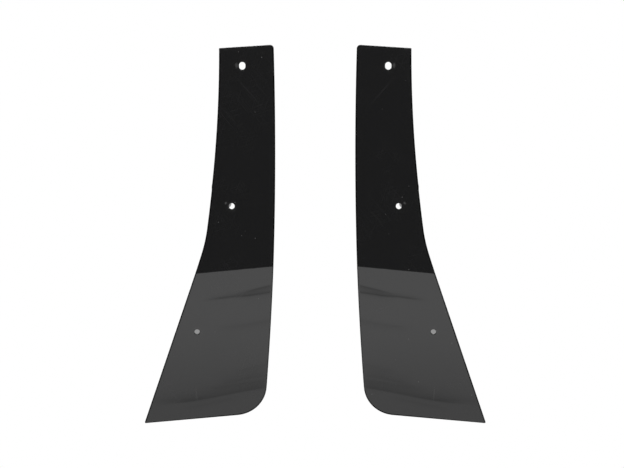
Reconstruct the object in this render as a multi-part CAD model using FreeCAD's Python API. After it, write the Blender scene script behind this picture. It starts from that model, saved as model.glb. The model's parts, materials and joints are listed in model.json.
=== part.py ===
# A handed pair of mud flaps. Each flap is one piece of 3 mm plastic sheet, routed flat and then
# folded back along one line, so that its lower third leans away from the show face.
# Row frame: +Z up as fitted, the show faces look towards -Y, and the vehicle's middle plane is X = 0.
# All lengths are in millimetres and all angles in degrees.
import FreeCAD, Part

import math
import os

# Sheet and fold
SHEET = 3.0
FOLD_ANGLE = 20.0
FOLD_INNER_RADIUS = 3.0
FOLD_POINT = (94.5, 196.6)
FOLD_SLOPE = 5.3

# Flat blank: (distance outwards from the middle plane, height above the tip)
OUTER_TOP = (115.2, 461.2)
NUB_TOP = (123.5, 297.6)
NUB_PEAK = (124.0, 296.8)
NUB_FOOT = (123.9, 291.6)
WAIST = (129.35, 245.5)
FLARE = (136.35, 214.0)
TIP = (204.35, 0.0)
INNER_BOTTOM = (59.9, 12.6)
INNER_TOP = (49.8, 465.4)

# Radii of the curved stretches of the outline
UPPER_OUTER_RADIUS = 1500.0
WAIST_RADIUS = 1980.0
FLARE_RADIUS = 182.0
INNER_EDGE_RADIUS = 4320.0

# Radii that take the points off the four corners
CORNERS = ((INNER_BOTTOM, 38.0), (INNER_TOP, 4.5), (OUTER_TOP, 1.0), (TIP, 1.2))

# Fixing holes, on the flat blank
SLOT_CENTRE = (87.4, 439.9)
SLOT_WIDTH = 7.6
SLOT_HEIGHT = 9.2
MIDDLE_HOLE = (100.0, 272.0)
MIDDLE_HOLE_RADIUS = 3.5
LOWER_HOLE = (141.3, 117.1)
LOWER_HOLE_RADIUS = 3.3

# The fold is lofted through this many equal steps of its angle
FOLD_STEPS = 6
# Half the side of the blocks that part the blank at the fold
BLOCK = 600.0

THICKNESS_WAY = FreeCAD.Vector(0, 1, 0)
DOWN_SHEET = FreeCAD.Vector(-math.sin(math.radians(FOLD_SLOPE)), 0, -math.cos(math.radians(FOLD_SLOPE)))
ALONG_FOLD = FreeCAD.Vector(math.cos(math.radians(FOLD_SLOPE)), 0, -math.sin(math.radians(FOLD_SLOPE)))
FOLD_LENGTH = math.radians(FOLD_ANGLE) * (FOLD_INNER_RADIUS + SHEET / 2)


def on_blank(place, depth=0.0):
    """A point of the flat blank, at a depth behind its show face."""
    return FreeCAD.Vector(place[0], depth, place[1])


def straight(start, end):
    """A straight stretch of the outline."""
    return Part.LineSegment(on_blank(start), on_blank(end)).toShape()


def curved(start, end, radius):
    """A stretch of the outline with one radius, bulging to the right of the way from start to end."""
    across = end[0] - start[0]
    up = end[1] - start[1]
    chord = math.hypot(across, up)
    rise = radius - math.sqrt(radius**2 - chord**2 / 4)
    middle = (
        (start[0] + end[0]) / 2 + rise * up / chord,
        (start[1] + end[1]) / 2 - rise * across / chord,
    )
    return Part.Arc(on_blank(start), on_blank(middle), on_blank(end)).toShape()


def outline():
    """The cut line of the flat blank, from the outer top corner down the outer edge and round."""
    return Part.Wire([
        curved(OUTER_TOP, NUB_TOP, UPPER_OUTER_RADIUS),
        straight(NUB_TOP, NUB_PEAK),
        straight(NUB_PEAK, NUB_FOOT),
        curved(NUB_FOOT, WAIST, WAIST_RADIUS),
        curved(WAIST, FLARE, FLARE_RADIUS),
        straight(FLARE, TIP),
        straight(TIP, INNER_BOTTOM),
        curved(INNER_TOP, INNER_BOTTOM, INNER_EDGE_RADIUS),
        straight(INNER_TOP, OUTER_TOP),
    ])


def corner_edge(blank, corner):
    """The edge of the blank that runs through the sheet at a corner of the outline."""
    middle = on_blank(corner, SHEET / 2)
    return min(blank.Edges, key=lambda edge: edge.CenterOfMass.distanceToPoint(middle))


def round_hole(centre, radius):
    """A cutter for one round hole."""
    return Part.makeCylinder(radius, 3 * SHEET, on_blank(centre, -SHEET), THICKNESS_WAY)


def slot():
    """A cutter for the upright slot: two round holes and the block between them."""
    radius = SLOT_WIDTH / 2
    travel = (SLOT_HEIGHT - SLOT_WIDTH) / 2
    upper = (SLOT_CENTRE[0], SLOT_CENTRE[1] + travel)
    lower = (SLOT_CENTRE[0], SLOT_CENTRE[1] - travel)
    corner = on_blank((SLOT_CENTRE[0] - radius, lower[1]), -SHEET)
    block = Part.makeBox(SLOT_WIDTH, 3 * SHEET, 2 * travel, corner)
    return block.fuse([round_hole(upper, radius), round_hole(lower, radius)]).removeSplitter()


def flat_blank():
    """The routed sheet before it is folded."""
    blank = Part.Face(outline()).extrude(THICKNESS_WAY * SHEET)
    for corner, radius in CORNERS:
        blank = blank.makeFillet(radius, [corner_edge(blank, corner)])
    holes = [
        slot(),
        round_hole(MIDDLE_HOLE, MIDDLE_HOLE_RADIUS),
        round_hole(LOWER_HOLE, LOWER_HOLE_RADIUS),
    ]
    return blank.cut(holes)


def half_space(down, lower_side):
    """A block on one side of a line across the blank, at a distance down the sheet from the fold."""
    block = Part.makeBox(2 * BLOCK, 2 * BLOCK, BLOCK)
    block.translate(FreeCAD.Vector(-BLOCK, -BLOCK, -BLOCK if lower_side else 0))
    block.rotate(FreeCAD.Vector(0, 0, 0), THICKNESS_WAY, FOLD_SLOPE)
    block.translate(on_blank(FOLD_POINT) + DOWN_SHEET * down)
    return block


def fold_back(shape, angle):
    """Turn a shape about the axis of the fold, so that what is below it leans away from -Y."""
    centre = on_blank(FOLD_POINT, SHEET + FOLD_INNER_RADIUS)
    return shape.rotated(centre, ALONG_FOLD, angle)


def cut_edge(solid, down):
    """The lowest and highest distance along the fold line where a cut across the blank ends."""
    on_line = on_blank(FOLD_POINT) + DOWN_SHEET * down
    places = [
        (vertex.Point - on_line).dot(ALONG_FOLD)
        for vertex in solid.Vertexes
        if abs((vertex.Point - on_line).dot(DOWN_SHEET)) < 1e-4
    ]
    return min(places), max(places)


def fold_section(inner, outer, angle):
    """The sheet's cross-section inside the fold, between two distances along the fold line."""
    start = on_blank(FOLD_POINT)
    corners = [
        start + ALONG_FOLD * inner,
        start + ALONG_FOLD * outer,
        start + ALONG_FOLD * outer + THICKNESS_WAY * SHEET,
        start + ALONG_FOLD * inner + THICKNESS_WAY * SHEET,
    ]
    return fold_back(Part.makePolygon(corners + corners[:1]), angle)


def flap():
    """One folded flap, on the +X side of the middle plane."""
    blank = flat_blank()
    upper = blank.common(half_space(0, False))
    lower = blank.common(half_space(FOLD_LENGTH, True))
    upper_inner, upper_outer = cut_edge(upper, 0)
    lower_inner, lower_outer = cut_edge(lower, FOLD_LENGTH)
    sections = []
    for step in range(FOLD_STEPS + 1):
        part = step / FOLD_STEPS
        inner = upper_inner + (lower_inner - upper_inner) * part
        outer = upper_outer + (lower_outer - upper_outer) * part
        sections.append(fold_section(inner, outer, FOLD_ANGLE * part))
    fold = Part.makeLoft(sections, True, False)
    lower.translate(DOWN_SHEET * -FOLD_LENGTH)
    return upper.fuse([fold, fold_back(lower, FOLD_ANGLE)])


def centred(shapes):
    """The shapes, moved so that the middle of the box around them all is the origin."""
    box = Part.makeCompound(shapes).optimalBoundingBox(False)
    return [shape.translated(box.Center * -1) for shape in shapes]


def main():
    os.makedirs("parts", exist_ok=True)
    right = flap()
    left = right.mirror(FreeCAD.Vector(0, 0, 0), FreeCAD.Vector(1, 0, 0))
    for name, shape in zip(("left_flap", "right_flap"), centred([left, right])):
        shape.exportStep(f"parts/{name}.step")


main()
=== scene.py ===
"""A handed pair of glossy black mud flaps: one folded plastic sheet each, with drilled fixing holes."""

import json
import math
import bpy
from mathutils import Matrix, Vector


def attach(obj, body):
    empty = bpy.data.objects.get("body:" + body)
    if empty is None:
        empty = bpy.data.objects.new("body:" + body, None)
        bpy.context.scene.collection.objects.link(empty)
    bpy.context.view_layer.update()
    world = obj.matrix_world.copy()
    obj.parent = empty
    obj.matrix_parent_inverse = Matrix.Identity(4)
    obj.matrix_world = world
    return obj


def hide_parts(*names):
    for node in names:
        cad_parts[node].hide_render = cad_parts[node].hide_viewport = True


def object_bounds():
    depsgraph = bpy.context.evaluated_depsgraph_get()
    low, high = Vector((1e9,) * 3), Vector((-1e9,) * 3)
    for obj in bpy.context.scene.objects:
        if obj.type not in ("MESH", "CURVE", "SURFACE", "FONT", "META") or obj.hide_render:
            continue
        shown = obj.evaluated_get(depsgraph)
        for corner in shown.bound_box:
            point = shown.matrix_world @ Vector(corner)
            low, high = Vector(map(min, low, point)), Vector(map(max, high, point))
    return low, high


bl_info = {
    "name": "Mud Flap Pair",
    "version": (1, 0, 0),
    "blender": (4, 5, 0),
    "location": "3D View > Sidebar > Mud Flaps",
    "description": "Builds a pair of folded gloss black mud flaps over a pale studio floor",
    "category": "Add Mesh",
}

import bmesh
import bpy
import numpy as np
from bpy.props import FloatProperty, FloatVectorProperty
from mathutils import Vector

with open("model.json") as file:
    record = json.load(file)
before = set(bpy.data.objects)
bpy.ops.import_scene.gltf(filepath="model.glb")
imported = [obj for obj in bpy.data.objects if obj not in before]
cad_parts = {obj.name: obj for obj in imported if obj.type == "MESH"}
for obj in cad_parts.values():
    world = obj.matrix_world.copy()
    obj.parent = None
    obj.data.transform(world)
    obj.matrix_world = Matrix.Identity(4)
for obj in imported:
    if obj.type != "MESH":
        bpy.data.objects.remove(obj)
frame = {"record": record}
CAD_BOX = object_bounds()

MOUNTS = {mount["name"]: mount for mount in frame["record"]["mounts"]}
MILLIMETRE = 0.001

# The flat blank: (distance outwards from the middle plane, height above the tip), in metres
OUTER_TOP = np.array([0.1152, 0.4612])
NUB_TOP = np.array([0.1235, 0.2976])
NUB_PEAK = np.array([0.1240, 0.2968])
NUB_FOOT = np.array([0.1239, 0.2916])
WAIST = np.array([0.12935, 0.2455])
FLARE = np.array([0.13635, 0.2140])
TIP = np.array([0.20435, 0.0])
INNER_BOTTOM = np.array([0.0599, 0.0126])
INNER_TOP = np.array([0.0498, 0.4654])
UPPER_OUTER_RADIUS = 1.5
WAIST_RADIUS = 1.98
FLARE_RADIUS = 0.182
# As good as straight
LOWER_OUTER_RADIUS = 1000.0
INNER_EDGE_RADIUS = 4.32
INNER_TOP_ROUNDING = 0.0045
OUTER_TOP_ROUNDING = 0.001
TIP_ROUNDING = 0.0012
INNER_BOTTOM_ROUNDING = 0.038
# The rounded rim is narrower near a tight corner: a share of the corner's radius, and growth per metre
RIM_SHARE = 0.6
RIM_GROWTH = 0.35

# Fixing holes on the flat blank; the radii of the round ones come from the mounts
SLOT_CENTRE = np.array([0.0874, 0.4399])
SLOT_RADIUS = 0.0038
SLOT_TRAVEL = 0.0008
MIDDLE_HOLE = np.array([0.1, 0.272])
LOWER_HOLE = np.array([0.1413, 0.1171])
HOLE_DEPTH = MOUNTS["right_middle_hole"]["dims"]["length_mm"] * MILLIMETRE
HOLE_TILT = math.acos(-MOUNTS["right_lower_hole"]["axis"][1])

# The fold: a line across the blank that falls outwards
FOLD_POINT = np.array([0.0945, 0.1966])
FOLD_SLOPE = math.radians(5.3)
ALONG_FOLD = np.array([math.cos(FOLD_SLOPE), -math.sin(FOLD_SLOPE)])
DOWN_SHEET = np.array([-math.sin(FOLD_SLOPE), -math.cos(FOLD_SLOPE)])
SHEET_WAYS = np.stack([ALONG_FOLD, DOWN_SHEET], axis=1)

# How finely the surfaces are divided
CURVE_POINTS = 400
ROUNDING_POINTS = 40
HOLE_BOX = 0.009
ROW_STEP = 0.002
FOLD_ROWS = 10
COLUMNS = (16, 12, 22)
# The bands of rows that hold the holes, from the top down
HOLE_BANDS = (1, 3, 7)
RING_STEPS = 12
RIM_STEPS = 6
WALL_STEPS = 4
MERGE_GAP = 2e-6

# Finishes of a flap's mesh, in the order of its material slots
SHOW, CUT, BACK = 0, 1, 2

# Slight waves of the sheet: wavelength in metres, heading in radians, phase and share of the height
RIPPLES = (
    (0.150, 1.35, 0.4, 1.0),
    (0.092, 0.35, 2.1, 0.5),
    (0.060, 2.10, 4.0, 0.22),
)
FOLD_WAVES = ((0.034, 0.3, 1.0), (0.019, 1.9, 0.6))
FOLD_WAVE_REACH = 0.012

# How far apart the nodes stand in the editor, and the middle of what a noise gives
NODE_SPACING = 180
NOISE_MIDDLE = 0.5

# Patterns of the finishes: sizes in metres, and each hairline's heading in radians and its length
HAIRLINE_WAYS = ((0.35, 0.05), (1.25, 0.03), (2.45, 0.07))
HAIRLINE_PATCH = 0.05
WARP_SIZE = 0.05
WARP_REACH = 0.04
WIPE_HEADING = 0.6
WIPE_STRETCH = 4.0
FACE_WIPE_SIZE = 0.014
BACK_WIPE_SIZE = 0.03
WEAR_GRAIN = 0.006
CORNER_WEAR_GRAIN = 0.008
LIGHTER_SPOT_GRAIN = 0.0012
DUST_GAP = 0.004
PEEL_SIZE = 0.006
CUTTER_MARK_SIZE = (0.0006, 0.02, 1.0)
CUTTER_MARK_DEPTH = 0.00003
GRAIN_WARP = 0.7
GRAIN_DEPTH = 0.00004
# Where a pattern's value starts and stops turning into its mask
HAIRLINE_RANGE = (0.68, 0.74)
PATCH_RANGE = (0.4, 0.6)
WIPE_RANGE = (0.42, 0.7)
WEAR_RANGE = (0.4, 0.7)
CORNER_WEAR_RANGE = (0.5, 0.8)
SPECK_RANGE = (0.16, 0.05)
GRAIN_RANGE = (0.0, 0.35)
LIGHTER_SPOT_RANGE = (1.7, 0.8)
CUTTER_MARK_RANGE = (0.3, 0.7)
# Greys that the marks turn to, and how far each mark turns the colour
WORN_GREY = 0.09
CORNER_GREY = 0.06
DUST_GREY = 0.3
WORN_SHARE = 0.5
CORNER_SHARE = 0.25
FACE_LINE_SHARE = 0.35
BACK_LINE_SHARE = 0.5
BACK_WIPE_SHARE = 0.12
FACE_DUST_SHARE = 0.5
BACK_DUST_SHARE = 0.6
# What each mark adds to the roughness
WORN_DULLS = 0.3
DUST_DULLS = 0.3
FACE_WIPE_DULLS = 0.02
BACK_WIPE_DULLS = 0.1
GRAIN_DULLS = 0.1
EDGE_LINE_DULLS = 0.1
CUTTER_MARK_DULLS = (-0.05, 0.08)
# Shares of the height of the gloss face's relief
PEEL_RISE = 0.4
LINE_RISE = -0.5

# Lighter spots, two by the holes and two on the open sheet: place on the blank, heading in degrees, half
# width, half length and strength
LIGHTER_SPOTS = (
    (SLOT_CENTRE + (0.0068, 0.0004), 0.0, 0.0022, 0.0036, 0.45),
    (MIDDLE_HOLE + (0.0070, 0.0036), 40.0, 0.0015, 0.0020, 0.6),
    (np.array([0.1419, 0.0373]), 0.0, 0.0012, 0.0100, 0.16),
    (np.array([0.0795, 0.4090]), -36.0, 0.0014, 0.0260, 0.05),
)

# Shade on the backdrop behind two of each flap's holes: way outwards and up from the hole, radius and tone
HOLE_SHADES = (
    ("lower_hole", (0.0, 0.0), 0.0090, 0.29),
    ("middle_hole", (0.0065, 0.0035), 0.0062, 0.22),
)
SHADE_BLUR = 0.0008

# Painted crease shade on the flat paper floor: middle, heading in degrees, length, far and near reach, depth
# of shade
PAINTED_CREASE_SHADES = (
    ((0.0246, -0.4025), 18.9, 0.110, 0.0006, 0.0050, 0.40),
    ((0.0595, -0.3848), 9.0, 0.120, 0.0026, 0.0010, 0.46),
    ((0.0500, -0.3345), 8.0, 0.110, 0.0030, 0.0070, 0.13),
    ((0.0687, -0.2224), 13.4, 0.080, 0.0120, 0.0012, 0.14),
    ((0.0560, -0.2480), 20.0, 0.070, 0.0020, 0.0100, 0.08),
    ((0.0734, -0.2150), 7.1, 0.110, 0.0030, 0.0100, 0.15),
    ((0.0940, -0.1955), 11.0, 0.190, 0.0120, 0.0010, 0.30),
    ((0.1520, -0.1880), 4.0, 0.110, 0.0060, 0.0050, 0.10),
    ((0.1134, -0.1806), 13.0, 0.090, 0.0030, 0.0030, 0.10),
)
FLOOR_CELLS = 60
FLOOR_HALF_WIDTH = 3.0
CREASE_WAVE = 0.045
CREASE_STRAY = 0.004
CREASE_END_RANGE = (0.5, 0.2)

# The painted pool of light on the floor, whose near edge is painted shade under the flaps, and its tone,
# painted shade that darkens towards the flaps: where each starts and ends, front to back or sideways
POOL_FAR_RANGE = (-1.35, -0.5)
POOL_NEAR_RANGE = (-0.07, -0.14)
POOL_SIDE_RANGE = (0.45, 0.27)
POOL_FRONT = -0.45
POOL_SPREAD = 1.6
TONE_RANGE = (-0.37, -0.15)
# Painted shade: the glow nearest the flaps, and the glow outside the painted pool of light
NEAR_TONE = 0.77
DARK_TONE = 0.12
# How far from the middle the floor starts and ends fading into white
FADE_RANGE = (0.2, 1.6)
PAPER_GREY = 0.45
PAPER_ROUGHNESS = 0.7
PAPER_SHINE = 0.2
# How high a way points where the surround above and below starts and ends changing
ABOVE_RANGE = (0.05, 0.9)
BELOW_RANGE = (-0.05, -0.6)

# Softboxes and camera: places, sizes and what the lights face
KEY_PLACE, KEY_SIZE = (0.0, -0.9, 1.5), (1.2, 0.8)
KEY_AIM_Y = -0.3
SIDE_PLACE, SIDE_SIZE = (1.8, 0.2, 1.2), (0.5, 1.2)
REAR_PLACE, REAR_SIZE = (0.0, 1.3, 1.9), (1.4, 0.6)
MIDDLE = (0.0, 0.0, 0.0)
SENSOR_WIDTH = 36.0
# How far to the side of the middle and above it the camera stands
CAMERA_SHIFT = (-0.0039, 0.0007)


# ---------------------------------------------------------------- outline of the flat blank


def stretch_of(points, normals):
    """A stretch of the outline as rows of x, z and its outward normal."""
    return np.hstack([points, np.broadcast_to(normals, points.shape)])


def straight(start, end):
    """A straight stretch from start to end, its normal to the left of the way."""
    way = (end - start) / np.hypot(*(end - start))
    return stretch_of(np.stack([start, end]), np.array([-way[1], way[0]]))


def arc(start, end, radius):
    """A curved stretch that bulges to the right of its way, or to the left with a negative radius.

    The centre is the chord's middle less radius times the cosine of half the turn, to the right. A
    point is the centre plus radius times (way times sine plus right times cosine) of its turn.
    """
    length = np.hypot(*(end - start))
    way = (end - start) / length
    right = np.array([way[1], -way[0]])
    half = math.asin(length / (2 * radius))
    turn = np.linspace(-half, half, CURVE_POINTS)[:, None]
    spoke = way * np.sin(turn) + right * np.cos(turn)
    centre = (start + end) / 2 - right * radius * math.cos(half)
    return stretch_of(centre + radius * spoke, -spoke)


def rounding(stretch, edge, radius):
    """The centre of the circle that rounds a corner, and what it leaves of the long stretch there.

    The stretch moved inwards by the radius meets the centre where it is that same radius inside the
    straight edge. What is left of the stretch lies further inside than that.
    """
    centres = stretch[:, :2] - radius * stretch[:, 2:]
    inside = (edge[0, :2] - centres) @ edge[0, 2:]
    order = np.argsort(inside)
    centre = np.array([np.interp(radius, inside[order], axis[order]) for axis in centres.T])
    return centre, stretch[inside > radius]


def corner(centre, radius, first, last):
    """A corner's arc from one outward normal to another, in two halves: centre plus radius times normal."""
    start = math.atan2(first[1], first[0])
    sweep = (math.atan2(last[1], last[0]) - start + math.pi) % (2 * math.pi) - math.pi
    turn = start + sweep * np.linspace(0, 1, 2 * ROUNDING_POINTS + 1)
    spoke = np.stack([np.cos(turn), np.sin(turn)], axis=1)
    whole = stretch_of(centre + radius * spoke, spoke)
    return whole[: ROUNDING_POINTS + 1], whole[ROUNDING_POINTS:]


def with_rim(side, first, last, width):
    """A side with the width of its rounded rim, which is least at a tight first or last corner."""
    start = lengths(side)
    room = first * RIM_SHARE + start * RIM_GROWTH
    room = np.minimum(room, last * RIM_SHARE + (start[-1] - start) * RIM_GROWTH)
    return np.hstack([side, np.minimum(room, width)[:, None]])


def outline(rim):
    """The four sides of the blank, each from the middle of one rounded corner to the next.

    The inner and outer sides run down the sheet, and the top and bottom sides run outwards. Each
    row is x, z, the outward normal and the width of the rounded rim.
    """
    outer = np.vstack([
        arc(OUTER_TOP, NUB_TOP, UPPER_OUTER_RADIUS),
        straight(NUB_TOP, NUB_PEAK),
        straight(NUB_PEAK, NUB_FOOT),
        arc(NUB_FOOT, WAIST, WAIST_RADIUS),
        arc(WAIST, FLARE, FLARE_RADIUS),
        arc(FLARE, TIP, LOWER_OUTER_RADIUS),
    ])
    inner = arc(INNER_BOTTOM, INNER_TOP, -INNER_EDGE_RADIUS)
    top = straight(INNER_TOP, OUTER_TOP)
    bottom = straight(TIP, INNER_BOTTOM)
    outer_top, outer = rounding(outer, top, OUTER_TOP_ROUNDING)
    tip, outer = rounding(outer, bottom, TIP_ROUNDING)
    inner_bottom, inner = rounding(inner, bottom, INNER_BOTTOM_ROUNDING)
    inner_top, inner = rounding(inner, top, INNER_TOP_ROUNDING)
    up = top[0, 2:]
    down = bottom[0, 2:]
    outer_top = corner(outer_top, OUTER_TOP_ROUNDING, up, outer[0, 2:])
    tip = corner(tip, TIP_ROUNDING, outer[-1, 2:], down)
    inner_bottom = corner(inner_bottom, INNER_BOTTOM_ROUNDING, down, inner[0, 2:])
    inner_top = corner(inner_top, INNER_TOP_ROUNDING, inner[-1, 2:], up)
    top = np.vstack([inner_top[1], outer_top[0]])
    outer = np.vstack([outer_top[1], outer, tip[0]])
    bottom = np.vstack([tip[1], inner_bottom[0]])[::-1]
    inner = np.vstack([inner_bottom[1], inner, inner_top[0]])[::-1]
    return {
        "top": with_rim(top, INNER_TOP_ROUNDING, OUTER_TOP_ROUNDING, rim),
        "outer": with_rim(outer, OUTER_TOP_ROUNDING, TIP_ROUNDING, rim),
        "bottom": with_rim(bottom, INNER_BOTTOM_ROUNDING, TIP_ROUNDING, rim),
        "inner": with_rim(inner, INNER_TOP_ROUNDING, INNER_BOTTOM_ROUNDING, rim),
    }


def lengths(points):
    """How far each point of a path is from its start."""
    steps = np.linalg.norm(np.diff(points[:, :2], axis=0), axis=1)
    return np.concatenate([[0.0], np.cumsum(steps)])


def sample(side, places):
    """Rows of a side at given distances from its start, with unit normals."""
    measured = lengths(side)
    rows = np.stack([np.interp(places, measured, column) for column in side.T], axis=1)
    rows[:, 2:4] /= np.linalg.norm(rows[:, 2:4], axis=1, keepdims=True)
    return rows


def on_sheet(points):
    """Blank places as distances along the fold line and down the sheet from it."""
    return (points - FOLD_POINT) @ SHEET_WAYS


def inset(side):
    """A side moved inwards by the width of its rounded rim, on the sheet."""
    return on_sheet(side[:, :2] - side[:, 4:] * side[:, 2:4])


# ---------------------------------------------------------------- grids on the sheet


def even(count):
    """Equal steps from 0 to 1."""
    return np.linspace(0, 1, count + 1)


def fine_start(count):
    """Steps from 0 to 1 that grow from nothing: one less the cosine of a quarter turn."""
    return 1 - np.cos(even(count) * math.pi / 2)


def fine_end(count):
    """Steps from 0 to 1 that shrink to nothing: the sine of a quarter turn."""
    return np.sin(even(count) * math.pi / 2)


COLUMN_SHARES = (fine_start(COLUMNS[0]), even(COLUMNS[1]), fine_end(COLUMNS[2]))


def between(start, end, shares):
    """Points on the straight line from start to end."""
    return start + (end - start) * shares[:, None]


def coons(top, bottom, left, right, across, down):
    """A four-sided patch: the straight blends of both pairs of sides, less the blend of the corners.

    The shares across and down are those that the sides' own points are spaced by.
    """
    across = across[None, :, None]
    down = down[:, None, None]
    rows = (1 - down) * top[None] + down * bottom[None]
    columns = (1 - across) * left[:, None] + across * right[:, None]
    corners = (1 - down) * ((1 - across) * top[0] + across * top[-1])
    corners = corners + down * ((1 - across) * bottom[0] + across * bottom[-1])
    return rows + columns - corners


def hole_edge(hole, radius, spokes):
    """Points round a hole: its centre, moved up or down by the slot's travel, plus radius times spoke."""
    upright = np.array([0.0, 1.0]) @ SHEET_WAYS
    side = np.sign(spokes @ upright)[:, None]
    return hole["centre"] + side * hole["travel"] * upright + radius * spokes


def ring(box, edge):
    """A grid from a closed box to the hole inside it, with steps that shrink towards the hole."""
    share = fine_end(RING_STEPS)[:, None, None]
    return box[None] * (1 - share) + edge[None] * share


def rim_profile(rim, thickness):
    """The section of a cut edge: a quarter ellipse, a straight wall and a quarter ellipse.

    Each row is a share of the rim's width outwards, from minus one up to nothing, and a depth.
    """
    turn = np.linspace(0, math.pi / 2, RIM_STEPS + 1)
    shift = np.sin(turn) - 1
    depth = rim * (1 - np.cos(turn))
    wall = np.linspace(rim, thickness - rim, WALL_STEPS + 1)[1:-1]
    shifts = np.concatenate([shift, np.zeros_like(wall), shift[::-1]])
    depths = np.concatenate([depth, wall, (thickness - depth)[::-1]])
    return shifts[:, None, None], depths[:, None, None]


def hole_list():
    """The three fixing holes on the sheet: centre, radius and the half travel of a slot."""
    middle = MOUNTS["right_middle_hole"]["dims"]["r_mm"] * MILLIMETRE
    lower = MOUNTS["right_lower_hole"]["dims"]["r_mm"] * MILLIMETRE
    return [
        {"centre": on_sheet(SLOT_CENTRE), "radius": SLOT_RADIUS, "travel": SLOT_TRAVEL},
        {"centre": on_sheet(MIDDLE_HOLE), "radius": middle, "travel": 0.0},
        {"centre": on_sheet(LOWER_HOLE), "radius": lower, "travel": 0.0},
    ]


class Blank:
    """The surfaces of one flap as grids on its flat sheet: along the fold, down the sheet, depth."""

    def __init__(self, sizes):
        self.rim_depth = sizes.rim_depth
        self.hole_rim = sizes.hole_rim_radius
        self.thickness = sizes.thickness
        self.sides = outline(sizes.rim_width)
        self.holes = hole_list()
        self.grids = []
        boxes = [hole["centre"][1] + way * HOLE_BOX for hole in self.holes for way in (-1, 1)]
        self.levels = boxes[:4] + [0.0, fold_length(sizes)] + boxes[4:]
        middles = np.interp(self.levels, boxes, np.repeat([hole["centre"][0] for hole in self.holes], 2))
        self.middles = np.concatenate([middles[:1], middles, middles[-1:]])
        self.add_faces()
        self.add_outline_rim()

    def add(self, grid, finish, uv):
        """Keep a grid of sheet points with its finish and its flat coordinates."""
        self.grids.append((grid, finish, uv))

    def add_face(self, patch):
        """Keep a patch on the show face and, turned over, on the back."""
        flat = np.zeros(patch.shape[:2] + (1,))
        self.add(np.concatenate([patch, flat], axis=2), SHOW, patch)
        self.add(np.concatenate([patch, flat + self.thickness], axis=2)[::-1], BACK, patch[::-1])

    def add_rim(self, points, ways, depth):
        """Keep a rim: its profile carried round a closed path, point plus shift times outward way."""
        shifts, depths = rim_profile(depth, self.thickness)
        flat = points[None] + shifts * ways[None]
        depth = np.broadcast_to(depths, flat.shape[:2] + (1,))
        round_way = np.broadcast_to(lengths(points)[None, :, None], depth.shape)
        self.add(np.concatenate([flat, depth], axis=2), CUT, np.concatenate([round_way, depth], axis=2))

    def band_shares(self):
        """The steps down each band between two row lines, finer towards the sheet's ends."""
        heights = np.diff(self.levels)
        counts = np.maximum(FOLD_ROWS, np.rint(heights / ROW_STEP)).astype(int)
        return [fine_start(FOLD_ROWS), *[even(count) for count in counts], fine_end(2 * FOLD_ROWS)]

    def runs(self, name, axis, values, shares):
        """Distances along a side where its samples lie, parted where its inset has given values.

        One array for each part, from its start plus the shares of its length.
        """
        measured = lengths(self.sides[name])
        cuts = np.interp(values, inset(self.sides[name])[:, axis], measured)
        cuts = np.concatenate([[0.0], cuts, measured[-1:]])
        return [start + (end - start) * part for start, end, part in zip(cuts, cuts[1:], shares)]

    def long_side(self, name):
        """Distances down a long side where its samples lie, one array for each band."""
        return self.runs(name, 1, self.levels, self.band_shares())

    def short_side(self, name, middle):
        """Distances along the top or bottom side where its samples lie, one array for each column."""
        return self.runs(name, 0, [middle - HOLE_BOX, middle + HOLE_BOX], COLUMN_SHARES)

    def inset_samples(self, name, places):
        """The inset of a side at each of several runs of distances."""
        return [inset(sample(self.sides[name], run)) for run in places]

    def rows(self, inner, outer):
        """Every row line in its three columns: the top side, the straight lines and the bottom side."""
        rows = [self.inset_samples("top", self.short_side("top", self.middles[0]))]
        for level, middle, start, end in zip(self.levels, self.middles[1:], inner[1:], outer[1:]):
            stops = [start[0], [middle - HOLE_BOX, level], [middle + HOLE_BOX, level], end[0]]
            stops = np.array(stops)
            rows.append([between(*pair) for pair in zip(stops, stops[1:], COLUMN_SHARES)])
        rows.append(self.inset_samples("bottom", self.short_side("bottom", self.middles[-1])))
        return rows

    def add_faces(self):
        """Keep the patches of both faces, with a ring and a rim round each hole."""
        inner = self.inset_samples("inner", self.long_side("inner"))
        outer = self.inset_samples("outer", self.long_side("outer"))
        rows = self.rows(inner, outer)
        hole_bands = dict(zip(HOLE_BANDS, self.holes))
        for band, shares in enumerate(self.band_shares()):
            top, bottom = rows[band], rows[band + 1]
            uprights = [
                inner[band],
                between(top[1][0], bottom[1][0], shares),
                between(top[1][-1], bottom[1][-1], shares),
                outer[band],
            ]
            for column in range(3):
                sides = (top[column], bottom[column], uprights[column], uprights[column + 1])
                if column == 1 and band in hole_bands:
                    self.add_hole(hole_bands[band], *sides)
                else:
                    self.add_face(coons(*sides, COLUMN_SHARES[column], shares))

    def add_hole(self, hole, top, bottom, left, right):
        """Keep the ring between a box and its hole, on both faces, and the hole's rim."""
        box = np.vstack([top[:-1], right[:-1], bottom[:0:-1], left[::-1]])
        spokes = box - hole["centre"]
        spokes = spokes / np.linalg.norm(spokes, axis=1, keepdims=True)
        self.add_face(ring(box, hole_edge(hole, hole["radius"] + self.hole_rim, spokes)))
        self.add_rim(hole_edge(hole, hole["radius"], spokes), -self.hole_rim * spokes, self.hole_rim)

    def add_outline_rim(self):
        """Keep the rim of the whole outline, in one closed path."""
        runs = {
            "top": self.short_side("top", self.middles[0]),
            "outer": self.long_side("outer"),
            "bottom": self.short_side("bottom", self.middles[-1]),
            "inner": self.long_side("inner"),
        }
        path = [sample(self.sides[name], np.concatenate(run)) for name, run in runs.items()]
        path = np.vstack([*path[:2], path[2][::-1], path[3][::-1]])
        kept = np.concatenate([[True], np.linalg.norm(np.diff(path[:, :2], axis=0), axis=1) > MERGE_GAP])
        path = path[kept]
        self.add_rim(on_sheet(path[:, :2]), path[:, 4:] * path[:, 2:4] @ SHEET_WAYS, self.rim_depth)

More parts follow.
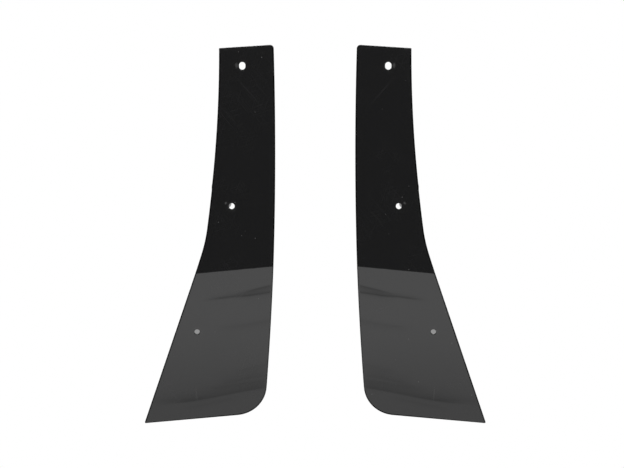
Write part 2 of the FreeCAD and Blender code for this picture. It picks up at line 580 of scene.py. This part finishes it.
    def edge_distance(self, points):
        """How far sheet points are from the nearest cut edge: the least of four sides and three holes."""
        along, down = points[:, 0], points[:, 1]
        edge = {name: on_sheet(side[:, :2]) for name, side in self.sides.items()}
        gaps = [
            along - np.interp(down, edge["inner"][:, 1], edge["inner"][:, 0]),
            np.interp(down, edge["outer"][:, 1], edge["outer"][:, 0]) - along,
            down - np.interp(along, edge["top"][:, 0], edge["top"][:, 1]),
            np.interp(along, edge["bottom"][:, 0], edge["bottom"][:, 1]) - down,
        ]
        for hole in self.holes:
            gaps.append(np.linalg.norm(points - hole["centre"], axis=1) - hole["radius"])
        return np.clip(np.minimum.reduce(gaps), 0, None)


def grid_faces(shape, first):
    """The four corners of every cell of a grid whose points are numbered row by row from first."""
    number = np.arange(shape[0] * shape[1]).reshape(shape[:2]) + first
    corners = [number[:-1, :-1], number[1:, :-1], number[1:, 1:], number[:-1, 1:]]
    return np.stack(corners, axis=2).reshape(-1, 4)


# ---------------------------------------------------------------- from the flat sheet to the flap


def fold_length(sizes):
    """The length of sheet inside the fold, on its middle layer: angle times radius."""
    return sizes.fold_angle * (sizes.fold_inner_radius + sizes.thickness / 2)


def ripple(points, height):
    """The sheet's slight waves: a sum of sines of the distance along each wave's heading."""
    total = np.zeros(len(points))
    for wavelength, heading, phase, share in RIPPLES:
        way = np.array([math.cos(heading), math.sin(heading)])
        total += share * np.sin(points @ way * 2 * math.pi / wavelength + phase)
    return height * total


def fold_wander(points, height):
    """How far the fold strays down the sheet: sines along the fold that die away from it as a bell."""
    along, down = points[:, 0], points[:, 1]
    stray = sum(share * np.sin(along * 2 * math.pi / length + phase) for length, phase, share in FOLD_WAVES)
    return height * stray * np.exp(-((down / FOLD_WAVE_REACH) ** 2))


def folded(points, sizes):
    """Sheet points in the flap's own place: flat, then round the fold's axis, then straight on.

    Inside the fold the turn is the fold angle times the share of its length. The drop is the sine
    and the set-back is one less the cosine, times the distance from the axis behind the sheet.
    """
    along = points[:, 0]
    depth = points[:, 2] + ripple(points[:, :2], sizes.ripple_height)
    down = points[:, 1] + fold_wander(points[:, :2], sizes.fold_wander)
    turn = sizes.fold_angle * np.clip(down / fold_length(sizes), 0, 1)
    after = np.maximum(down - fold_length(sizes), 0)
    axis = sizes.fold_inner_radius + sizes.thickness
    reach = axis - depth
    drop = np.minimum(down, 0) + reach * np.sin(turn) + after * np.cos(turn)
    back = axis - reach * np.cos(turn) + after * np.sin(turn)
    blank = FOLD_POINT + np.outer(along, ALONG_FOLD) + np.outer(drop, DOWN_SHEET)
    return np.stack([blank[:, 0], back, blank[:, 1]], axis=1)


def place_of_blank(sizes):
    """Where the blank's zero lies in the row frame, from the right flap's middle hole."""
    hole = MOUNTS["right_middle_hole"]["pos_m"]
    return np.array([0.0, hole[1] - sizes.thickness / 2, hole[2] - MIDDLE_HOLE[1]])


def flap_mesh(name, side, sizes):
    """One flap's closed mesh. Side is +1 for the flap at +X and -1 for the mirrored one."""
    blank = Blank(sizes)
    first = 0
    points, faces, finishes, flats = [], [], [], []
    for grid, finish, uv in blank.grids:
        cells = grid_faces(grid.shape, first)
        points.append(grid.reshape(-1, 3))
        flats.append(uv.reshape(-1, 2))
        faces.append(cells)
        finishes.append(np.full(len(cells), finish))
        first += grid.shape[0] * grid.shape[1]
    points, faces = np.vstack(points), np.vstack(faces)
    placed = folded(points, sizes) + place_of_blank(sizes)
    placed[:, 0] *= side
    mesh = bpy.data.meshes.new(name)
    mesh.from_pydata(placed.tolist(), [], faces.tolist())
    mesh.polygons.foreach_set("material_index", np.concatenate(finishes))
    mesh.uv_layers.new(name="sheet").data.foreach_set("uv", np.vstack(flats)[faces.ravel()].ravel())
    gap = mesh.attributes.new("edge_gap", "FLOAT", "POINT")
    gap.data.foreach_set("value", blank.edge_distance(points[:, :2]))
    close_mesh(mesh)
    return mesh


def close_mesh(mesh):
    """Merge the grids along their shared lines and point every face outwards.

    The mesh is closed if two faces, and no more, meet at every edge.
    """
    work = bmesh.new()
    work.from_mesh(mesh)
    bmesh.ops.remove_doubles(work, verts=work.verts, dist=MERGE_GAP)
    bmesh.ops.recalc_face_normals(work, faces=work.faces)
    work.to_mesh(mesh)
    work.free()
    edges = np.empty(len(mesh.loops), np.int32)
    mesh.loops.foreach_get("edge_index", edges)
    if np.any(np.bincount(edges, minlength=len(mesh.edges)) != 2):
        raise RuntimeError(f"{mesh.name} is not closed")
    mesh.shade_smooth()


# ---------------------------------------------------------------- shader nodes


class Nodes:
    """Adds nodes to a tree from left to right. An input takes a number, a colour or an output."""

    def __init__(self, tree):
        self.tree = tree

    def place(self, node):
        """Put a new node to the right of the others."""
        node.location = (NODE_SPACING * len(self.tree.nodes), 0)
        return node

    def fill(self, socket, value):
        """Join an output to a socket, or set the socket's own value."""
        if isinstance(value, bpy.types.NodeSocket):
            self.tree.links.new(value, socket)
        else:
            socket.default_value = value

    def add(self, kind, inputs=(), output=0, **settings):
        """Add a node with its settings and inputs, by name or number, and give one of its outputs."""
        node = self.place(self.tree.nodes.new("ShaderNode" + kind))
        for name, value in settings.items():
            setattr(node, name, value)
        for name, value in dict(inputs).items():
            self.fill(node.inputs[name], value)
        return node.outputs[output]

    def group(self, name, inputs):
        """Add a shared group and give its mask."""
        node = self.place(self.tree.nodes.new("ShaderNodeGroup"))
        node.node_tree = bpy.data.node_groups[name]
        for label, value in inputs.items():
            self.fill(node.inputs[label], value)
        return node.outputs[0]

    def calc(self, operation, *values):
        """Add a Math node."""
        return self.add("Math", enumerate(values), operation=operation)

    def times(self, first, second):
        """Multiply two values."""
        return self.calc("MULTIPLY", first, second)

    def vector(self, operation, *values):
        """Add a Vector Math node."""
        return self.add("VectorMath", enumerate(values), operation=operation)

    def ease(self, value, start, end, low=0.0, high=1.0):
        """Turn a value's way from start to end into a smooth one from low to high."""
        inputs = {0: value, 1: start, 2: end, 3: low, 4: high}
        return self.add("MapRange", inputs, interpolation_type="SMOOTHSTEP")

    def blend(self, share, first, second):
        """Mix two colours, the second by the given share."""
        return self.add("Mix", {0: share, 6: first, 7: second}, output=2, data_type="RGBA")

    def noise(self, place, size, detail=0.0, output=0):
        """Noise with lumps of a given size, in metres."""
        inputs = {"Vector": place, "Scale": 1 / size, "Detail": detail}
        return self.add("TexNoise", inputs, output)

    def bump(self, height, depth):
        """Turn a height into a normal. The depth is what a height of one stands for."""
        return self.add("Bump", {"Strength": 1.0, "Distance": depth, "Height": height})

    def drawn_out(self, place, heading, size):
        """Turn coordinates about Y to a heading and divide them by three sizes."""
        inputs = {"Vector": place, "Rotation": (0.0, heading, 0.0), "Scale": size}
        return self.add("Mapping", inputs, vector_type="TEXTURE")


def new_group(name, inputs):
    """A shader node group with named inputs and a mask. Gives its nodes, its inputs and the mask."""
    tree = bpy.data.node_groups.new(name, "ShaderNodeTree")
    for label, kind in inputs.items():
        tree.interface.new_socket(label, in_out="INPUT", socket_type="NodeSocket" + kind)
    tree.interface.new_socket("Mask", in_out="OUTPUT", socket_type="NodeSocketFloat")
    nodes = Nodes(tree)
    start = nodes.place(tree.nodes.new("NodeGroupInput"))
    end = tree.nodes.new("NodeGroupOutput")
    return nodes, start.outputs, end.inputs[0]


def hairlines_group():
    """Handling hairlines: noise drawn out along several headings, cut off high and kept in patches."""
    nodes, given, mask = new_group("hairlines", {"Place": "Vector", "Width": "Float", "Amount": "Float"})
    marks = 0.0
    for heading, length in HAIRLINE_WAYS:
        size = nodes.add("CombineXYZ", {0: given["Width"], 1: 1.0, 2: length})
        turned = nodes.drawn_out(given["Place"], heading, size)
        streak = nodes.ease(nodes.noise(turned, 1.0), *HAIRLINE_RANGE)
        marks = nodes.calc("MAXIMUM", marks, streak)
    patch = nodes.ease(nodes.noise(given["Place"], HAIRLINE_PATCH, detail=2.0), *PATCH_RANGE)
    marks = nodes.times(marks, patch)
    nodes.fill(mask, nodes.times(marks, given["Amount"]))


def smudges_group():
    """Wipe marks: a warped soft noise, drawn out along the way the sheet was wiped."""
    nodes, given, mask = new_group("smudges", {"Place": "Vector", "Size": "Float", "Amount": "Float"})
    lumps = nodes.noise(given["Place"], WARP_SIZE, detail=1.0, output=1)
    moved = nodes.vector("MULTIPLY_ADD", lumps, (WARP_REACH,) * 3, given["Place"])
    length = nodes.times(given["Size"], WIPE_STRETCH)
    size = nodes.add("CombineXYZ", {0: given["Size"], 1: length, 2: length})
    drawn = nodes.drawn_out(moved, WIPE_HEADING, size)
    soft = nodes.ease(nodes.noise(drawn, 1.0, detail=3.0), *WIPE_RANGE)
    nodes.fill(mask, nodes.times(soft, given["Amount"]))


def worn_edges_group():
    """Worn edges: a decay with the distance from the cut edge, broken up by noise."""
    nodes, given, mask = new_group("worn edges", {"Place": "Vector", "Gap": "Float", "Reach": "Float"})
    away = nodes.calc("DIVIDE", given["Gap"], given["Reach"])
    near = nodes.calc("EXPONENT", nodes.times(away, -1.0))
    broken = nodes.ease(nodes.noise(given["Place"], WEAR_GRAIN, detail=4.0), *WEAR_RANGE)
    nodes.fill(mask, nodes.times(near, broken))


def dust_group():
    """Dust: the middles of a few cells of a fine cell pattern, each cell kept by chance."""
    nodes, given, mask = new_group("dust", {"Place": "Vector", "Gap": "Float", "Amount": "Float"})
    cells = {"Vector": nodes.vector("DIVIDE", given["Place"], given["Gap"]), "Scale": 1.0}
    speck = nodes.ease(nodes.add("TexVoronoi", cells), *SPECK_RANGE)
    chance = nodes.add("SeparateColor", {0: nodes.add("TexVoronoi", cells, output=1)})
    nodes.fill(mask, nodes.times(speck, nodes.calc("LESS_THAN", chance, given["Amount"])))


def grain_group():
    """Moulded grain: the walls between the cells of a warped cell pattern."""
    nodes, given, mask = new_group("grain", {"Place": "Vector", "Size": "Float"})
    scaled = nodes.vector("DIVIDE", given["Place"], given["Size"])
    lumps = nodes.add("TexNoise", {"Vector": scaled, "Scale": GRAIN_WARP}, output=1)
    warped = nodes.vector("ADD", scaled, lumps)
    cells = nodes.add("TexVoronoi", {"Vector": warped, "Scale": 1.0}, feature="DISTANCE_TO_EDGE")
    nodes.fill(mask, nodes.ease(cells, *GRAIN_RANGE))


def crease_shade_group():
    """Painted shade of a crease in paper, which fades out along its length, with a far side and a near side.

    The mask is e to the power of minus the distance across the crease over that side's reach.
    """
    inputs = {"Place": "Vector", "Middle": "Vector", "Heading": "Float"}
    inputs.update({"Length": "Float", "Far": "Float", "Near": "Float"})
    nodes, given, mask = new_group("painted crease shade", inputs)
    moved = nodes.vector("SUBTRACT", given["Place"], given["Middle"])
    angle = nodes.times(given["Heading"], -1.0)
    turned = nodes.add("VectorRotate", {"Vector": moved, "Angle": angle}, rotation_type="Z_AXIS")
    along, across = nodes.add("SeparateXYZ", {0: turned}).node.outputs[:2]
    stray = nodes.calc("SUBTRACT", nodes.noise(given["Place"], CREASE_WAVE, detail=1.0), NOISE_MIDDLE)
    across = nodes.calc("MULTIPLY_ADD", stray, CREASE_STRAY, across)
    near = nodes.calc("DIVIDE", nodes.calc("MAXIMUM", across, 0.0), given["Near"])
    far = nodes.calc("DIVIDE", nodes.calc("MINIMUM", across, 0.0), given["Far"])
    fall = nodes.calc("EXPONENT", nodes.calc("SUBTRACT", far, near))
    share = nodes.calc("DIVIDE", nodes.calc("ABSOLUTE", along), given["Length"])
    nodes.fill(mask, nodes.times(fall, nodes.ease(share, *CREASE_END_RANGE)))


def new_material(name, finish_colour):
    """A material with a Principled shader. Gives the material, its nodes and the shader."""
    material = bpy.data.materials.new(name)
    material.use_nodes = True
    material.diffuse_color = finish_colour
    shader = material.node_tree.nodes["Principled BSDF"]
    return material, Nodes(material.node_tree), shader.inputs


def grey(level):
    """A neutral colour of one level."""
    return (level, level, level, 1.0)


def lighter_spot(nodes, sheet, place, heading, width, length):
    """A lighter spot on the sheet: a ragged bell about its place, drawn out along its heading."""
    shift = nodes.vector("SUBTRACT", sheet, (*on_sheet(place), 0.0))
    angle = math.radians(heading)
    shift = nodes.add("VectorRotate", {"Vector": shift, "Angle": angle}, rotation_type="Z_AXIS")
    shift = nodes.vector("DIVIDE", shift, (width, length, 1.0))
    away = nodes.add("VectorMath", {0: shift}, output=1, operation="LENGTH")
    ragged = nodes.calc("ADD", away, nodes.noise(sheet, LIGHTER_SPOT_GRAIN, detail=3.0))
    return nodes.ease(ragged, *LIGHTER_SPOT_RANGE)


def hairlines_on(nodes, place, finish):
    """The handling hairlines of any of the finishes."""
    inputs = {"Place": place, "Width": finish.hairline_width, "Amount": finish.hairlines}
    return nodes.group("hairlines", inputs)


def handling(nodes, place, finish, wipe_size):
    """What handling leaves on a face: its worn edges, hairlines, wipe marks and dust, as masks."""
    gap = nodes.add("Attribute", output=2, attribute_name="edge_gap")
    worn = nodes.group("worn edges", {"Place": place, "Gap": gap, "Reach": finish.wear_reach})
    wiped = nodes.group("smudges", {"Place": place, "Size": wipe_size, "Amount": finish.smudges})
    dust = nodes.group("dust", {"Place": place, "Gap": DUST_GAP, "Amount": finish.dust})
    return worn, hairlines_on(nodes, place, finish), wiped, dust


def face_material(finish):
    """Gloss black: a faint ripple, hairlines, wipe marks, lighter spots by the holes and on the sheet, worn
    edges, dust.
    """
    clean = (*finish.face_colour, 1.0)
    material, nodes, shader = new_material("gloss black face", clean)
    place = nodes.add("TexCoord", output=3)
    sheet = nodes.add("UVMap", uv_map="sheet")
    worn, lines, wiped, dust = handling(nodes, place, finish, FACE_WIPE_SIZE)
    lighter = 0.0
    # Lighter spots in the colour and roughness: two beside the holes and two on the open sheet
    for *spot, strength in LIGHTER_SPOTS:
        lighter = nodes.calc("MULTIPLY_ADD", lighter_spot(nodes, sheet, *spot), strength, lighter)
    pale = nodes.calc("MAXIMUM", nodes.times(worn, WORN_SHARE), lighter)
    pale = nodes.calc("MAXIMUM", pale, nodes.times(lines, FACE_LINE_SHARE))
    colour = nodes.blend(pale, clean, grey(WORN_GREY))
    colour = nodes.blend(nodes.times(dust, FACE_DUST_SHARE), colour, grey(DUST_GREY))
    dull = nodes.calc("MULTIPLY_ADD", wiped, FACE_WIPE_DULLS, finish.face_roughness)
    dull = nodes.calc("MULTIPLY_ADD", pale, WORN_DULLS, dull)
    peel = nodes.noise(place, PEEL_SIZE, detail=1.0)
    height = nodes.calc("MULTIPLY_ADD", peel, PEEL_RISE, nodes.times(lines, LINE_RISE))
    nodes.fill(shader["Base Color"], colour)
    nodes.fill(shader["Roughness"], nodes.calc("MULTIPLY_ADD", dust, DUST_DULLS, dull))
    nodes.fill(shader["Normal"], nodes.bump(height, finish.peel_height))
    return material


def edge_material(finish):
    """Routed edge: satin, with fine cutter marks across its length and worn corners."""
    clean = (*finish.edge_colour, 1.0)
    material, nodes, shader = new_material("routed edge", clean)
    place = nodes.add("TexCoord", output=3)
    sheet = nodes.add("UVMap", uv_map="sheet")
    marks = nodes.noise(nodes.drawn_out(sheet, 0.0, CUTTER_MARK_SIZE), 1.0, detail=2.0)
    worn = nodes.ease(nodes.noise(place, CORNER_WEAR_GRAIN, detail=4.0), *CORNER_WEAR_RANGE)
    colour = nodes.blend(nodes.times(worn, CORNER_SHARE), clean, grey(CORNER_GREY))
    smooth, rough = (finish.edge_roughness + step for step in CUTTER_MARK_DULLS)
    dull = nodes.ease(marks, *CUTTER_MARK_RANGE, smooth, rough)
    lines = hairlines_on(nodes, place, finish)
    nodes.fill(shader["Base Color"], colour)
    nodes.fill(shader["Roughness"], nodes.calc("MULTIPLY_ADD", lines, EDGE_LINE_DULLS, dull))
    nodes.fill(shader["Normal"], nodes.bump(marks, CUTTER_MARK_DEPTH))
    return material


def back_material(finish):
    """Grained back: satin black with a fine moulded grain, hairlines, wipe marks, worn edges, dust."""
    clean = (*finish.back_colour, 1.0)
    material, nodes, shader = new_material("grained back", clean)
    place = nodes.add("TexCoord", output=3)
    grain = nodes.group("grain", {"Place": place, "Size": finish.grain_size})
    worn, lines, wiped, dust = handling(nodes, place, finish, BACK_WIPE_SIZE)
    worn = nodes.times(worn, WORN_SHARE)
    pale = nodes.calc("MAXIMUM", worn, nodes.times(lines, BACK_LINE_SHARE))
    pale = nodes.calc("MULTIPLY_ADD", wiped, BACK_WIPE_SHARE, pale)
    colour = nodes.blend(pale, clean, grey(WORN_GREY))
    colour = nodes.blend(nodes.times(dust, BACK_DUST_SHARE), colour, grey(DUST_GREY))
    dull = nodes.ease(grain, 0.0, 1.0, finish.back_roughness + GRAIN_DULLS, finish.back_roughness)
    nodes.fill(shader["Base Color"], colour)
    nodes.fill(shader["Roughness"], nodes.calc("MULTIPLY_ADD", wiped, BACK_WIPE_DULLS, dull))
    nodes.fill(shader["Normal"], nodes.bump(grain, GRAIN_DEPTH))
    return material


# ---------------------------------------------------------------- studio


def floor_mesh(stage):
    """A flat square grid, from minus to plus its half width in both ways."""
    ways = np.linspace(-FLOOR_HALF_WIDTH, FLOOR_HALF_WIDTH, FLOOR_CELLS + 1)
    x, y = np.meshgrid(ways, ways)
    points = np.stack([x, y, np.full_like(x, stage.floor_height)], axis=2).reshape(-1, 3)
    faces = grid_faces((FLOOR_CELLS + 1, FLOOR_CELLS + 1), 0)[:, ::-1]
    mesh = bpy.data.meshes.new("studio_floor")
    mesh.from_pydata(points.tolist(), [], faces.tolist())
    return mesh


def floor_material(stage):
    """Pale paper to the camera. What the gloss sheets mirror is a painted glow: a painted pool of light,
    painted crease shade, painted shade near and under the flaps, and its dark ends.
    """
    material, nodes, shader = new_material("pale paper", grey(PAPER_GREY))
    place = nodes.add("TexCoord", output=3)
    across, along = nodes.add("SeparateXYZ", {0: place}).node.outputs[:2]
    sideways = nodes.calc("ABSOLUTE", across)
    folded_over = nodes.add("CombineXYZ", {0: sideways, 1: along})
    # Painted shade: the glow darkens towards the flaps
    tone = nodes.ease(along, *TONE_RANGE, 1.0, NEAR_TONE)
    for middle, heading, length, far, near, depth in PAINTED_CREASE_SHADES:
        inputs = {"Place": folded_over, "Middle": (*middle, 0.0), "Heading": math.radians(heading)}
        inputs.update({"Length": length, "Far": far, "Near": near})
        # Painted crease shade darkens the glow
        shade = nodes.times(nodes.group("painted crease shade", inputs), -depth)
        tone = nodes.calc("MULTIPLY_ADD", tone, shade, tone)
    # Painted pool of light, with painted shade under the flaps and to its sides
    front = nodes.calc("MAXIMUM", nodes.calc("SUBTRACT", POOL_FRONT, along), 0.0)
    spread = nodes.calc("MULTIPLY_ADD", front, -POOL_SPREAD, sideways)
    pool = nodes.times(nodes.ease(along, *POOL_FAR_RANGE), nodes.ease(along, *POOL_NEAR_RANGE))
    pool = nodes.times(pool, nodes.ease(spread, *POOL_SIDE_RANGE))
    tone = nodes.times(tone, nodes.ease(pool, 0.0, 1.0, DARK_TONE, 1.0))
    glow = nodes.times(tone, stage.floor_glow)
    # Painted light: every ray but a camera ray sees the floor glow with this painted tone, and the gloss
    # sheets mirror it
    mirrored = nodes.add("Emission", {"Color": grey(1.0), "Strength": glow})
    radius = nodes.add("VectorMath", {0: place}, output=1, operation="LENGTH")
    far = nodes.ease(radius, *FADE_RANGE)
    nodes.fill(shader["Base Color"], grey(PAPER_GREY))
    nodes.fill(shader["Roughness"], PAPER_ROUGHNESS)
    nodes.fill(shader["Specular IOR Level"], PAPER_SHINE)
    white = nodes.add("Emission", {"Color": grey(1.0), "Strength": 1.0})
    seen = nodes.add("MixShader", {0: far, 1: shader["Base Color"].node.outputs[0], 2: white})
    camera_ray = nodes.add("LightPath")
    surface = nodes.add("MixShader", {0: camera_ray, 1: mirrored, 2: seen})
    material.node_tree.links.new(surface, material.node_tree.nodes["Material Output"].inputs[0])
    return material


def camera_place(stage):
    """Where the camera stands: in front of the middle of the pair."""
    middle = (CAD_BOX[0] + CAD_BOX[1]) / 2
    return Vector((middle.x + CAMERA_SHIFT[0], -stage.camera_distance, middle.z + CAMERA_SHIFT[1]))


def hole_shade(nodes, way, stage, hole, shift, radius, tone):
    """A soft-edged round patch of shade on the backdrop, in line with a hole and the camera."""
    side = math.copysign(1.0, hole[0])
    place = Vector(hole) + Vector((side * shift[0], 0.0, shift[1]))
    sight = place - camera_place(stage)
    away = nodes.vector("DISTANCE", way, sight.normalized()).node.outputs[1]
    reach = radius / sight.length
    blur = SHADE_BLUR / sight.length
    return nodes.ease(away, reach - blur, reach + blur, tone, 1.0)


def studio_world(stage):
    """White behind the object, and a dim surround that brightens overhead for all else."""
    world = bpy.data.worlds.new("studio surround")
    world.use_nodes = True
    nodes = Nodes(world.node_tree)
    way = nodes.add("TexCoord")
    height = nodes.add("SeparateXYZ", {0: way}, output=2)
    above = nodes.ease(height, *ABOVE_RANGE, stage.surround_low, stage.surround_high)
    below = nodes.ease(height, *BELOW_RANGE, 0.0, stage.surround_low)
    level = nodes.calc("ADD", above, below)
    seen = 1.0
    for name, *shade in HOLE_SHADES:
        for side in ("left", "right"):
            hole = MOUNTS[f"{side}_{name}"]["pos_m"]
            seen = nodes.calc("MINIMUM", seen, hole_shade(nodes, way, stage, hole, *shade))
    camera_ray = nodes.add("LightPath")
    strength = nodes.add("Mix", {0: camera_ray, 2: level, 3: seen}, data_type="FLOAT")
    shade = world.node_tree.nodes["Background"]
    nodes.fill(shade.inputs["Color"], grey(1.0))
    nodes.fill(shade.inputs["Strength"], strength)
    return world


def placed_object(name, data, place=MIDDLE, turn=MIDDLE):
    """A new object of the scene in its place, which is the origin unless another is given."""
    thing = bpy.data.objects.new(name, data)
    thing.location = place
    thing.rotation_euler = turn
    bpy.context.collection.objects.link(thing)
    return thing


def softbox(name, place, target, size, power):
    """An area light that faces its target and that the camera doesn't see."""
    light = bpy.data.lights.new(name, "AREA")
    light.shape = "RECTANGLE"
    light.size, light.size_y = size
    light.energy = power
    turn = (Vector(target) - Vector(place)).to_track_quat("-Z", "Y").to_euler()
    lamp = placed_object(name, light, place, turn)
    lamp.visible_camera = False
    return lamp


def studio_camera(stage):
    """A long-lens camera in front, aimed level at the middle of the pair."""
    lens = bpy.data.cameras.new("camera")
    lens.sensor_width = SENSOR_WIDTH
    lens.lens = SENSOR_WIDTH * stage.camera_distance / stage.view_width
    lens.clip_end = 3 * stage.camera_distance
    upright = (math.pi / 2, 0.0, 0.0)
    bpy.context.scene.camera = placed_object("camera", lens, camera_place(stage), upright)


# ---------------------------------------------------------------- settings, operators and panel


def setting(name, description, default, **kind):
    """A number that the user can change. The kind is its unit or subtype."""
    return FloatProperty(name=name, description=description, default=default, **kind)


def length_setting(name, description, default):
    """A length that the user can change, in metres."""
    return setting(name, description, default, unit="LENGTH")


def share_setting(name, description, default):
    """A share that the user can change, from nothing to one."""
    return setting(name, description, default, subtype="FACTOR")


def colour_setting(name, description, default):
    """A colour that the user can change."""
    return FloatVectorProperty(name=name, description=description, default=default, subtype="COLOR")


class FlapSizes(bpy.types.PropertyGroup):
    """Sizes of the folded sheets."""

    thickness: length_setting("Thickness", "Thickness of the sheet, from the depth of its holes", HOLE_DEPTH)
    fold_angle: setting("Fold Angle", "Tilt of the lower part and of its hole", HOLE_TILT, unit="ROTATION")
    fold_inner_radius: length_setting("Fold Radius", "Radius of the fold on the back of the sheet", 0.003)
    rim_width: length_setting("Edge Rounding Width", "Reach of the outline's rounding over each face", 0.002)
    rim_depth: length_setting("Edge Rounding Depth", "Depth of the outline's rounding below a face", 0.0013)
    hole_rim_radius: length_setting("Hole Rounding", "Rounding of the hole edges on both faces", 0.0006)
    ripple_height: length_setting("Ripple Height", "Height of the sheet's slight waves", 0.00006)
    fold_wander: length_setting("Fold Wander", "How far the fold strays from a straight line", 0.0002)


class FlapFinish(bpy.types.PropertyGroup):
    """Colours and finishes of the sheets."""

    face_colour: colour_setting("Face Colour", "Colour of the gloss face", (0.0099, 0.0099, 0.0102))
    back_colour: colour_setting("Back Colour", "Colour of the grained back", (0.013, 0.013, 0.0134))
    edge_colour: colour_setting("Edge Colour", "Colour of the routed edge", (0.0022, 0.0022, 0.0023))
    face_roughness: share_setting("Face Roughness", "Roughness of the gloss face where it is clean", 0.015)
    back_roughness: share_setting("Back Roughness", "Roughness of the grained back", 0.42)
    edge_roughness: share_setting("Edge Roughness", "Roughness of the routed edge", 0.2)
    peel_height: length_setting("Peel Height", "Height of the faint ripple in the gloss", 0.000001)
    grain_size: length_setting("Grain Size", "Size of the cells of the back's grain", 0.0011)
    hairline_width: length_setting("Hairline Width", "Width of the handling hairlines", 0.0005)
    hairlines: share_setting("Hairlines", "Strength of the handling hairlines", 0.15)
    smudges: share_setting("Wipe Marks", "Strength of the wipe marks", 0.6)
    dust: share_setting("Dust", "Share of the dust cells that hold a speck", 0.02)
    wear_reach: length_setting("Wear Reach", "How far the wear reaches in from a cut edge", 0.0012)


class StudioSetup(bpy.types.PropertyGroup):
    """The floor, the lights and the camera."""

    floor_height: length_setting("Floor Height", "Height of the floor below the hanging flaps", -0.38)
    # Painted light: the glow of the floor's painted pool, seen by every ray but camera rays
    floor_glow: setting("Floor Glow", "Brightness of the lit pool that the gloss mirrors", 1.57)
    surround_low: setting("Surround at Eye Level", "Brightness of the surround at the horizon", 0.06)
    surround_high: setting("Surround Overhead", "Brightness of the surround overhead", 0.3)
    key_power: setting("Key Light", "Power of the overhead and of the rear softbox", 34.0, unit="POWER")
    side_power: setting("Side Lights", "Power of each side softbox", 8.0, unit="POWER")
    camera_distance: length_setting("Camera Distance", "Distance from the pair to the camera", 12.5)
    view_width: length_setting("View Width", "Width of the view at the middle of the pair", 0.7488)


class MUDFLAPS_OT_add_flaps(bpy.types.Operator):
    """Make the left and the right flap in place of their plain solids"""

    bl_idname = "mud_flaps.add_flaps"
    bl_label = "Add Flaps"

    def execute(self, context):
        scene = context.scene
        for make_group in SHARED_GROUPS:
            make_group()
        finish = scene.mud_flap_finish
        materials = [face_material(finish), edge_material(finish), back_material(finish)]
        for side, node in SIDES.items():
            mesh = flap_mesh(f"{node}_sheet", side, scene.mud_flap_sizes)
            for material in materials:
                mesh.materials.append(material)
            flap = placed_object(mesh.name, mesh)
            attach(flap, "root")
            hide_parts(node)
        return {"FINISHED"}


class MUDFLAPS_OT_add_stage(bpy.types.Operator):
    """Set up the pale floor, the soft lights and the camera"""

    bl_idname = "mud_flaps.add_stage"
    bl_label = "Add Studio"

    def execute(self, context):
        scene = context.scene
        stage = scene.mud_flap_stage
        crease_shade_group()
        mesh = floor_mesh(stage)
        mesh.materials.append(floor_material(stage))
        placed_object("studio_floor", mesh)
        scene.world = studio_world(stage)
        scene.view_settings.view_transform = "Standard"
        aim = (0.0, KEY_AIM_Y, stage.floor_height)
        key = softbox("key softbox", KEY_PLACE, aim, KEY_SIZE, stage.key_power)
        key.visible_glossy = False
        for side in SIDES:
            place = (side * SIDE_PLACE[0], *SIDE_PLACE[1:])
            softbox(f"side softbox {side}", place, MIDDLE, SIDE_SIZE, stage.side_power)
        softbox("rear softbox", REAR_PLACE, MIDDLE, REAR_SIZE, stage.key_power)
        studio_camera(stage)
        return {"FINISHED"}


class MUDFLAPS_PT_sidebar(bpy.types.Panel):
    """Lists the flaps, the studio and their settings"""

    bl_idname = "MUDFLAPS_PT_sidebar"
    bl_label = "Mud Flap Pair"
    bl_space_type = "VIEW_3D"
    bl_region_type = "UI"
    bl_category = "Mud Flaps"

    def draw(self, context):
        for operator in OPERATORS:
            self.layout.operator(operator.bl_idname)
        for name, group in SETTINGS.items():
            box = self.layout.box()
            for key in group.__annotations__:
                box.prop(getattr(context.scene, name), key)


SIDES = {-1: "left_flap", 1: "right_flap"}
SHARED_GROUPS = (hairlines_group, smudges_group, worn_edges_group, dust_group, grain_group)
SETTINGS = {"mud_flap_sizes": FlapSizes, "mud_flap_finish": FlapFinish, "mud_flap_stage": StudioSetup}
OPERATORS = (MUDFLAPS_OT_add_stage, MUDFLAPS_OT_add_flaps)
CLASSES = (*SETTINGS.values(), *OPERATORS, MUDFLAPS_PT_sidebar)


def register():
    """Register every class and give each scene its settings."""
    for each in CLASSES:
        bpy.utils.register_class(each)
    for name, settings in SETTINGS.items():
        setattr(bpy.types.Scene, name, bpy.props.PointerProperty(type=settings))


def unregister():
    """Take away the settings and the classes."""
    for name in SETTINGS:
        delattr(bpy.types.Scene, name)
    for each in reversed(CLASSES):
        bpy.utils.unregister_class(each)


def main():
    """Make the studio and the flaps."""
    register()
    bpy.ops.mud_flaps.add_stage()
    bpy.ops.mud_flaps.add_flaps()


if __name__ == "__main__":
    main()
